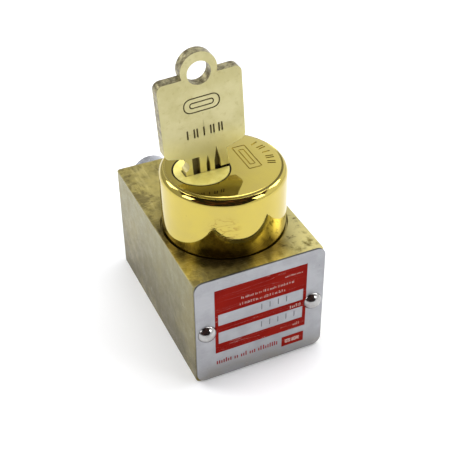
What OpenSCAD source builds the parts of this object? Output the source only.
// Trapped-key interlock: a key-operated deadbolt lock in a rectangular brass housing.
// Origin: centre of the mounting face. +Z points to the lock face, +Y along the bolt.

/* [Housing] */
// Width of the housing, X
housing_w = 32; // [31.6:0.2:36]
// Length of the housing, Y
housing_l = 50.3; // [49.5:0.1:56]
// Height from the mounting face to the lock face, Z
housing_h = 29; // [28.5:0.5:32]
// Radius of the four upright edges
housing_edge_r = 0.8; // [0.4:0.1:1.5]
// Radius of a mounting hole, drilled for tapping
base_hole_r = 1.9; // [1.5:0.1:2.2]
// Spacing of the mounting holes across the housing
base_hole_dx = 22.2; // [21.6:0.2:23]
// Spacing of the mounting holes along the housing
base_hole_dy = 38.1; // [37:0.1:39.5]

/* [Lock cylinder] */
// Diameter of the polished head
head_d = 29.2; // [28.6:0.1:29.6]
// Height of the head above the housing
head_h = 15.7; // [14.5:0.1:17]
// Radius of the head's rounded rim
rim_r = 2; // [0.8:0.1:2.2]
// Diameter of the barrel inside the housing
barrel_d = 25.4; // [25:0.1:25.8]
// Place of the cylinder along the housing, Y
cylinder_y = -5.6; // [-7:0.1:-5]
// Distance from the cylinder's axis to the plug's axis
plug_offset = 5.3; // [5.2:0.1:5.5]
// Diameter of the plug's body
plug_d = 12; // [11.8:0.1:12.2]
// Diameter of the plug's flange, seen from outside
plug_flange_d = 12.6; // [12.5:0.1:12.8]
// Number of pin stacks
pin_count = 5; // [3:1:5]
// Distance between pin stacks
pin_pitch = 4.2; // [4:0.1:4.2]
// Depth of the first pin stack below the lock face
first_pin_depth = 4.9; // [4.8:0.1:5]
// Radius of a pin
pin_r = 1.42; // [1.3:0.02:1.44]

/* [Key] */
// Thickness of the key
key_t = 2.6; // [2.2:0.1:2.6]
// Lean of the key in its keyway, degrees
key_lean = 3.2; // [0:0.2:3.4]
// Distance from the plug's axis to the key's centre line
key_offset = 1; // [0.8:0.1:1.2]
// Width of the bow
bow_w = 19.3; // [18:0.1:20]
// Height of the bow's top edge above the lock face
bow_top = 24; // [22:0.5:26]
// Radius of the lobe that holds the key ring
lobe_r = 4.2; // [4.1:0.1:5]
// Radius of the key ring's hole
ring_hole_r = 2.7; // [2.4:0.1:2.9]
// Length of the blade below the lock face
blade_length = 23.4; // [23.2:0.1:23.6]
// Depth of each cut in the blade, from the tip up
bitting = [1.0, 0.6, 1.2, 0.4, 0.9];

/* [Bolt] */
// Diameter of the bolt's nose
nose_d = 11.1; // [10:0.1:11.2]
// Length of the nose outside the housing, with the bolt shot
nose_out = 22.2; // [18:0.1:26]
// Diameter of the bolt's body, inside the housing
bolt_body_d = 12.7; // [12.4:0.1:12.8]
// Height of the bolt's axis above the mounting face
bolt_z = 10.6; // [10.5:0.1:10.8]
// Travel of the bolt for a quarter turn of the key
bolt_travel = 9.525; // [9:0.025:9.6]

/* [Nameplate] */
// Width of the nameplate
plate_w = 32.2; // [31:0.1:32.4]
// Height of the nameplate
plate_h = 29.5; // [28:0.1:29.6]
// Height of the nameplate's top edge above the mounting face
plate_top = 29.8; // [29.6:0.1:30]
// Thickness of the nameplate
plate_t = 0.5; // [0.4:0.1:1]
// Distance between the two drive screws
drive_screw_dx = 26.7; // [26:0.1:27]

/* [Hidden] */
$fn = 64;
cut = 1;                                  // how far a cutter runs past a face
face_z = housing_h + head_h;              // the lock face
plug_x = -plug_offset;
front_y = -housing_l / 2;
back_y = housing_l / 2;

seat_depth = 1;                           // the head sits this deep in the housing
seat_gap = 0.3;                           // ring gap around the head
fit_gap = 0.05;                           // radial clearance of a part that stays put
barrel_length = 8.5;                      // barrel below the housing's top
shell_bottom = housing_h - barrel_length;
running_gap = 0.06;                       // radial clearance of a running fit
flange_t = 2;                             // thickness of the plug's flange
flange_gap = 0.2;                         // ring gap around the plug's flange
flange_end_gap = 0.1;                     // gap under the plug's flange

crank_end_gap = 0.2;                      // gap between the shell and the crank
crank_top = shell_bottom - crank_end_gap;
crank_t = 2.5;
crank_throw = bolt_travel / sqrt(2);      // a quarter turn moves the pin by bolt_travel
crank_rest_angle = 45;
crank_hub_r = 5.9;
crank_boss_r = 2.7;
crank_web_w = 4.4;
crank_pin_r = 1.6;
chamber_floor = bolt_z + 5.2;             // floor of the crank's chamber
crank_pin_end = bolt_z - 1.2;             // the pin reaches this far past the bolt's axis
crank_screw_offset = 3.7;
crank_screw_r = 1;
crank_screw_head_r = 1.9;
crank_screw_grip = 4.5;                   // length of thread in the plug
crank_screw_top = crank_top + crank_screw_grip;

slot_y = cylinder_y + bolt_travel / 2;    // bolt's cross slot, with the bolt shot
slot_play = 0.7;                          // room for the pin's arc
slot_w = 2 * crank_pin_r + slot_play;
slot_floor = crank_pin_end - 0.4;         // just past the pin's end
bolt_body_half = 9.5;                     // half the length of the bolt's body
bolt_shoulder_y = slot_y + bolt_body_half;
bolt_stop_gap = 0.5;
nose_tip_y = back_y + nose_out;
nose_chamfer = 0.8;
groove_w = 1.1;                           // grease groove just inside the housing
groove_depth = 0.35;
groove_out = 0.15;                        // the part of the groove outside the housing

bore_plug_r = 7.4;
bore_plug_t = 3.4;
bore_plug_seat = 3.5;

base_hole_depth = 9;
cylinder_screw_x = 8.9;
cylinder_screw_dy = 5;                    // to each side of the cylinder's axis
cylinder_screw_r = 1.5;
cylinder_screw_head_r = 2.7;
cylinder_screw_head_h = 2.5;
cylinder_screw_recess = 3;
cylinder_screw_gap = 0.2;                 // radial clearance of its hole in the housing
cylinder_screw_grip = 5.5;                // length of thread in the shell
cylinder_screw_end = shell_bottom + cylinder_screw_grip;

keyway_gap = 0.12;                        // on each side of the key
keyway_w = key_t + 2 * keyway_gap;
keyway_left = -4.4;                       // keyway's closed side, from the plug's axis
keyway_right = 4.5;                       // keyway's pin side, inside the plug's body
blade_left = -4.1;
ridge_x = 2.9;                            // the blade's uncut edge
pin_lift = 0.2;                           // how far the pins are held off the blade
pin_tip_h = 0.6;
pin_tip_r = 0.6;
shear_gap = 0.15;                         // between the plug and a driver pin
pin_top_gap = 0.25;                       // between a bottom pin's top and the plug's edge
pin_gap = 0.08;                           // radial clearance of a pin in its hole
pin_hole_r = pin_r + pin_gap;
driver_length = 3.5;
spring_length = 4.4;
spring_end_gap = 0.1;
spring_coil_r = 1.05;
spring_wire_r = 0.17;
spring_turns = 5;
chamber_plug_r = 1.75;
driver_x = plug_x + plug_d / 2 + shear_gap;
spring_x = driver_x + driver_length + spring_end_gap;
chamber_plug_x = spring_x + spring_length + spring_end_gap;

key_foot = 0.25;                          // the key's neck stops this far off the face
neck_left = blade_left;
neck_right = 6.2;
groove_cut = 0.8;                         // depth of the key's long grooves
lobe_rise = 1.3;                          // the lobe's centre above the bow's top edge
ring_hole_rise = 0.7;                     // the ring hole's centre above that edge
ward_depth = 0.6;
ward_root = 0.3;                          // the part of a ward inside the keyway's wall
ward_top = face_z - 0.6;
ward_bottom = face_z - 3.2;               // above the first pin's hole

drive_screw_z = 14.7;
drive_screw_r = 1.2;
drive_screw_length = 6;
drive_head_r = 2.3;
drive_head_h = 1.55;
plate_corner_r = 2.2;

// Left edge, right edge, top and length of the pointed run-out of each long groove
KEY_GROOVES = [[-2.4, -0.7, 4.3, 0], [0.85, 1.7, 4.1, 2.2], [2.8, 4.2, 5.7, 3.6]];
// Left and right edges of each ward in the keyway's mouth
WARDS = [[-2, -1.05], [3.35, 3.9]];

PIN_NUMBERS = [1:pin_count];

// Depth and height of pin stack i, counted from the lock face
function pin_depth(i) = first_pin_depth + (i - 1) * pin_pitch;
function pin_z(i) = face_z - pin_depth(i);
// Tip of a bottom pin, from the plug's axis: it follows the leaning blade's edge
function pin_tip_x(i) = ridge_x + pin_depth(i) * tan(key_lean) + pin_lift;

// ---- placing helpers ----

// Places children on the plug's axis, at the lock cylinder's place in Y
module at_plug(z = 0) {
    translate([plug_x, cylinder_y, z]) children();
}

// Places children at each corner of a rectangle
module at_corners(dx, dy) {
    for (x = [-dx / 2, dx / 2], y = [-dy / 2, dy / 2])
        translate([x, y, 0]) children();
}

module at_cylinder_screws() {
    for (side = [-1, 1])
        translate([cylinder_screw_x, cylinder_y + side * cylinder_screw_dy, 0]) children();
}

module at_crank_screws() {
    for (side = [-1, 1])
        at_plug() translate([0, side * crank_screw_offset, 0]) children();
}

// Turns a shape that stands along Z to lie along +Y, from y0
module along_y(y0, z0, x0 = 0) {
    translate([x0, y0, z0]) rotate([-90, 0, 0]) children();
}

// Turns a shape that stands along Z to lie along +X, from x0, on the pin stacks' row
module along_x(x0, z0) {
    translate([x0, cylinder_y, z0]) rotate([0, 90, 0]) children();
}

// A rectangle with round corners, centred
module rounded_rect(w, l, r) {
    square([w - 2 * r, l], center = true);
    square([w, l - 2 * r], center = true);
    for (x = [-1, 1], y = [-1, 1])
        translate([x * (w / 2 - r), y * (l / 2 - r)]) circle(r);
}

// ---- housing and its fixings ----

module housing() {
    color([0.62, 0.55, 0.28])
    difference() {
        linear_extrude(housing_h) rounded_rect(housing_w, housing_l, housing_edge_r);
        cylinder_bores();
        bolt_bores();
        housing_screw_holes();
    }
}

// The seat of the head, and the barrel's bore down to the crank's chamber
module cylinder_bores() {
    translate([0, cylinder_y, housing_h - seat_depth])
        cylinder(r = head_d / 2 + seat_gap, h = seat_depth + cut);
    translate([0, cylinder_y, chamber_floor])
        cylinder(r = barrel_d / 2 + fit_gap, h = housing_h - chamber_floor + cut);
}

// The bolt's stepped bore, closed by a threaded plug at the front
module bolt_bores() {
    body_stop_y = bolt_shoulder_y + bolt_stop_gap;
    along_y(front_y - cut, bolt_z)
        cylinder(r = bolt_body_d / 2 + running_gap, h = body_stop_y - front_y + cut);
    along_y(front_y - cut, bolt_z)
        cylinder(r = bore_plug_r + fit_gap, h = bore_plug_seat + cut);
    along_y(front_y, bolt_z)
        cylinder(r = nose_d / 2 + running_gap, h = housing_l + cut);
}

module housing_screw_holes() {
    at_corners(base_hole_dx, base_hole_dy)
        translate([0, 0, -cut]) cylinder(r = base_hole_r, h = base_hole_depth + cut);
    at_cylinder_screws() {
        translate([0, 0, -cut])
            cylinder(r = cylinder_screw_head_r + cylinder_screw_gap, h = cylinder_screw_recess + cut);
        cylinder(r = cylinder_screw_r + cylinder_screw_gap, h = housing_h - seat_depth);
    }
    for (side = [-1, 1])
        along_y(front_y - cut, drive_screw_z, side * drive_screw_dx / 2)
            cylinder(r = drive_screw_r, h = drive_screw_length + cut);
}

module nameplate() {
    color([0.72, 0.72, 0.72])
    difference() {
        along_y(front_y - plate_t, plate_top - plate_h / 2)
            linear_extrude(plate_t) rounded_rect(plate_w, plate_h, plate_corner_r);
        for (side = [-1, 1])
            along_y(front_y - plate_t - cut, drive_screw_z, side * drive_screw_dx / 2)
                cylinder(r = drive_screw_r, h = plate_t + 2 * cut);
    }
}

// Two drive screws with domed heads
module nameplate_screws() {
    dome_r = (drive_head_r * drive_head_r + drive_head_h * drive_head_h) / (2 * drive_head_h);
    color([0.85, 0.85, 0.86])
    for (side = [-1, 1])
        along_y(front_y - plate_t, drive_screw_z, side * drive_screw_dx / 2) {
            cylinder(r = drive_screw_r, h = drive_screw_length);
            intersection() {
                translate([0, 0, dome_r - drive_head_h]) sphere(dome_r);
                translate([0, 0, -drive_head_h]) cylinder(r = 2 * drive_head_r, h = drive_head_h);
            }
        }
}

// Threaded plug that closes the bolt's bore, under the nameplate
module bolt_bore_plug() {
    slot_width = 1.4;
    slot_depth = 1.2;
    color([0.66, 0.58, 0.3])
    along_y(front_y + bore_plug_seat - bore_plug_t, bolt_z)
        difference() {
            cylinder(r = bore_plug_r, h = bore_plug_t);
            translate([-bore_plug_r, -slot_width / 2, -cut])
                cube([2 * bore_plug_r, slot_width, slot_depth + cut]);
        }
}

// ---- bolt and crank ----

module deadbolt() {
    body_y = slot_y - bolt_body_half;
    nose_length = nose_tip_y - bolt_shoulder_y;
    groove_y = back_y + groove_out - groove_w;
    color([0.78, 0.79, 0.8])
    difference() {
        union() {
            along_y(body_y, bolt_z) cylinder(r = bolt_body_d / 2, h = 2 * bolt_body_half);
            along_y(bolt_shoulder_y, bolt_z)
                cylinder(r = nose_d / 2, h = nose_length - nose_chamfer);
            along_y(nose_tip_y - nose_chamfer, bolt_z)
                cylinder(r1 = nose_d / 2, r2 = nose_d / 2 - nose_chamfer, h = nose_chamfer);
        }
        translate([-bolt_body_d, slot_y - slot_w / 2, slot_floor])
            cube([2 * bolt_body_d, slot_w, bolt_body_d]);
        along_y(groove_y, bolt_z) difference() {
            cylinder(r = nose_d / 2 + cut, h = groove_w);
            cylinder(r = nose_d / 2 - groove_depth, h = groove_w);
        }
    }
}

// Arm on the plug's tail: a hub, a web and a boss for the pin
module crank() {
    color([0.7, 0.7, 0.68])
    difference() {
        at_plug(crank_top - crank_t) rotate(crank_rest_angle) linear_extrude(crank_t) {
            circle(crank_hub_r);
            translate([0, -crank_web_w / 2]) square([crank_throw, crank_web_w]);
            translate([crank_throw, 0]) circle(crank_boss_r);
        }
        at_plug() rotate(crank_rest_angle)
            translate([crank_throw, 0, 0]) cylinder(r = crank_pin_r, h = face_z);
        at_crank_screws() crank_screw_shape();
    }
}

module crank_pin() {
    color([0.8, 0.8, 0.8])
    at_plug(crank_pin_end) rotate(crank_rest_angle)
        translate([crank_throw, 0, 0]) cylinder(r = crank_pin_r, h = crank_top - crank_pin_end);
}

// One countersunk screw, with its head flush with the crank's lower face
module crank_screw_shape() {
    cone_h = crank_screw_head_r - crank_screw_r;
    translate([0, 0, crank_top - crank_t])
        cylinder(r1 = crank_screw_head_r, r2 = crank_screw_r, h = cone_h);
    translate([0, 0, crank_top - crank_t])
        cylinder(r = crank_screw_r, h = crank_screw_top - crank_top + crank_t);
}

module crank_screws() {
    color([0.5, 0.5, 0.5])
    at_crank_screws() crank_screw_shape();
}

// ---- lock cylinder ----

// Outside of the shell: the head with its rounded rim, and the barrel
module shell_outline() {
    head_r = head_d / 2;
    rim_z = face_z - rim_r;
    head_z = housing_h - seat_depth;
    translate([0, cylinder_y, 0]) {
        translate([0, 0, shell_bottom]) cylinder(r = barrel_d / 2, h = head_z - shell_bottom);
        translate([0, 0, head_z]) cylinder(r = head_r, h = rim_z - head_z);
        translate([0, 0, head_z]) cylinder(r = head_r - rim_r, h = face_z - head_z);
        translate([0, 0, rim_z]) rotate_extrude() translate([head_r - rim_r, 0]) circle(rim_r);
    }
}

module cylinder_shell() {
    flange_seat = flange_t + flange_end_gap;
    color([0.86, 0.74, 0.3])
    difference() {
        shell_outline();
        at_plug(shell_bottom - cut)
            cylinder(r = plug_d / 2 + running_gap, h = face_z - shell_bottom + 2 * cut);
        at_plug(face_z - flange_seat)
            cylinder(r = plug_flange_d / 2 + flange_gap, h = flange_seat + cut);
        for (i = PIN_NUMBERS) {
            along_x(plug_x, pin_z(i)) cylinder(r = pin_hole_r, h = head_d / 2 - plug_x);
            along_x(chamber_plug_x, pin_z(i)) cylinder(r = chamber_plug_r, h = head_d);
        }
        at_cylinder_screws() cylinder(r = cylinder_screw_r, h = cylinder_screw_end);
    }
}

// Two long screws from the mounting face that hold the lock cylinder
module cylinder_screws() {
    head_z = cylinder_screw_recess - cylinder_screw_head_h;
    socket_r = 1.4;
    socket_depth = 1.5;
    color([0.35, 0.35, 0.37])
    at_cylinder_screws() difference() {
        union() {
            translate([0, 0, head_z])
                cylinder(r = cylinder_screw_head_r, h = cylinder_screw_head_h);
            translate([0, 0, head_z])
                cylinder(r = cylinder_screw_r, h = cylinder_screw_end - head_z);
        }
        translate([0, 0, head_z - cut]) cylinder(r = socket_r, h = socket_depth + cut, $fn = 6);
    }
}

// Plugs that close the pin chambers, finished flush with the shell
module chamber_plugs() {
    color([0.84, 0.72, 0.3])
    intersection() {
        shell_outline();
        for (i = PIN_NUMBERS)
            along_x(chamber_plug_x, pin_z(i)) cylinder(r = chamber_plug_r, h = head_d);
    }
}

module cylinder_plug() {
    color([0.88, 0.78, 0.4]) {
        difference() {
            at_plug() {
                translate([0, 0, crank_top]) cylinder(r = plug_d / 2, h = face_z - crank_top);
                translate([0, 0, face_z - flange_t])
                    cylinder(r = plug_flange_d / 2, h = flange_t);
            }
            keyway();
            for (i = PIN_NUMBERS)
                along_x(plug_x, pin_z(i)) cylinder(r = pin_hole_r, h = plug_d);
            at_crank_screws() cylinder(r = crank_screw_r, h = crank_screw_top);
        }
        for (ward = WARDS)
            at_plug(ward_bottom) translate([ward[0], -keyway_w / 2 - ward_root, 0])
                cube([ward[1] - ward[0], ward_depth + ward_root, ward_top - ward_bottom]);
    }
}

// A straight slot through the plug, open to the rim where the key's neck stands
module keyway() {
    at_plug() {
        translate([keyway_left, -keyway_w / 2, 0])
            cube([keyway_right - keyway_left, keyway_w, face_z + cut]);
        translate([keyway_left, -keyway_w / 2, face_z - flange_t])
            cube([plug_flange_d, keyway_w, flange_t + cut]);
    }
}

// ---- pin stacks ----

module bottom_pin(i) {
    tip = pin_tip_x(i);
    top = plug_d / 2 - pin_top_gap;
    color([0.83, 0.71, 0.36])
    along_x(plug_x + tip, pin_z(i))
        rotate_extrude() polygon([
            [0, 0], [pin_tip_r, 0], [pin_r, pin_tip_h], [pin_r, top - tip], [0, top - tip]
        ]);
}

module driver_pin(i) {
    color([0.75, 0.75, 0.72])
    along_x(driver_x, pin_z(i)) cylinder(r = pin_r, h = driver_length);
}

module pin_spring(i) {
    color([0.8, 0.8, 0.78])
    along_x(spring_x + spring_wire_r, pin_z(i))
        coil(spring_length - 2 * spring_wire_r, spring_coil_r, spring_wire_r, spring_turns);
}

// A coil of round wire that rises along Z
module coil(height, coil_r, wire_r, turns) {
    sides = 6;
    turn_steps = 14;
    steps = turns * turn_steps;
    function wire_point(s, k) =
        let (turn = 360 * s / turn_steps)
        let (around = 360 * k / sides)
        let (r = coil_r + wire_r * cos(around))
        [r * cos(turn), r * sin(turn), height * s / steps + wire_r * sin(around)];
    function corner(s, k) = s * sides + k % sides;
    points = [for (s = [0:steps], k = [0:sides - 1]) wire_point(s, k)];
    walls = [for (s = [0:steps - 1], k = [0:sides - 1])
        [corner(s, k), corner(s, k + 1), corner(s + 1, k + 1), corner(s + 1, k)]];
    first_end = [for (k = [0:sides - 1]) corner(0, sides - 1 - k)];
    last_end = [for (k = [0:sides - 1]) corner(steps, k)];
    polyhedron(points, concat(walls, [first_end, last_end]));
}

// ---- key ----

// Drawn in the key's own plane: first coordinate across the blade, second along it.
// Its origin is where the plug's axis meets the lock face.
module key() {
    color([0.82, 0.78, 0.58])
    at_plug(face_z) rotate([0, -key_lean, 0])
    difference() {
        rotate([90, 0, 0]) linear_extrude(key_t, center = true) {
            bow_outline();
            neck_outline();
            blade_outline();
        }
        translate([key_offset, 0, bow_top + ring_hole_rise])
            rotate([90, 0, 0]) cylinder(r = ring_hole_r, h = 2 * key_t, center = true);
        for (groove = KEY_GROOVES) long_groove(groove);
    }
}

// The bow: a square with round corners and sloping shoulders, and a lobe on top
module bow_outline() {
    corner_r = 1.6;
    side_bottom = 6.1;
    shoulder_z = 4.7;
    half = bow_w / 2;
    translate([key_offset, 0]) {
        offset(r = corner_r) offset(delta = -corner_r)
            polygon([
                [-half, side_bottom], [neck_left - key_offset, shoulder_z],
                [neck_right - key_offset, shoulder_z], [half, side_bottom],
                [half, bow_top], [-half, bow_top]
            ]);
        translate([0, bow_top + lobe_rise]) circle(lobe_r);
    }
}

// The neck between the bow and the lock face, with a round notch on its left
module neck_outline() {
    notch_r = 1.55;
    notch_x = neck_left - 0.6;
    notch_z = 2.7;
    waist = 0.3;                          // the neck's right side is hollowed this much
    waist_start = 1.8;
    waist_end = 4.2;
    neck_top = 6;                         // inside the bow
    difference() {
        polygon([
            [neck_left, -cut], [ridge_x, -cut], [ridge_x, key_foot], [neck_right, key_foot],
            [neck_right, waist_start], [neck_right - waist, waist_end],
            [neck_right - waist, neck_top], [neck_left, neck_top]
        ]);
        translate([notch_x, notch_z]) circle(notch_r);
    }
}

// The blade: straight back, cut edge, and a bevelled tip
module blade_outline() {
    tip_bevel = 2.2;
    tip_narrowing = 0.7;                  // the tip is this much narrower than the last cut
    cut_top = 1.4;                        // half length of a cut at the ridge
    cut_floor = 0.5;                      // half length of its flat floor
    function cut_points(i) =
        let (z = -pin_depth(pin_count + 1 - i))
        let (floor_x = ridge_x - bitting[i - 1])
        [[ridge_x, z - cut_top], [floor_x, z - cut_floor], [floor_x, z + cut_floor],
         [ridge_x, z + cut_top]];
    tip = [[blade_left, -blade_length + tip_bevel], [blade_left + tip_bevel, -blade_length]];
    edge = [for (i = PIN_NUMBERS) each cut_points(i)];
    tip_corner = [[edge[0][0] - tip_narrowing, -blade_length]];
    polygon(concat([[blade_left, 0]], tip, tip_corner, edge, [[ridge_x, 0]]));
}

// A groove milled along the front of the blade, with a pointed run-out on the neck
module long_groove(groove) {
    left = groove[0];
    right = groove[1];
    top = groove[2];
    shoulder = top - groove[3];
    bottom = -blade_length - cut;
    translate([0, -key_t / 2 + groove_cut, 0]) rotate([90, 0, 0])
        linear_extrude(groove_cut + cut)
            polygon([
                [left, bottom], [right, bottom], [right, shoulder],
                [(left + right) / 2, top], [left, shoulder]
            ]);
}

// ---- nodes ----

housing();
nameplate();
nameplate_screws();
bolt_bore_plug();
deadbolt();
cylinder_shell();
cylinder_screws();
chamber_plugs();
cylinder_plug();
crank();
crank_pin();
crank_screws();
key();
for (i = PIN_NUMBERS) {
    bottom_pin(i);
    driver_pin(i);
    pin_spring(i);
}
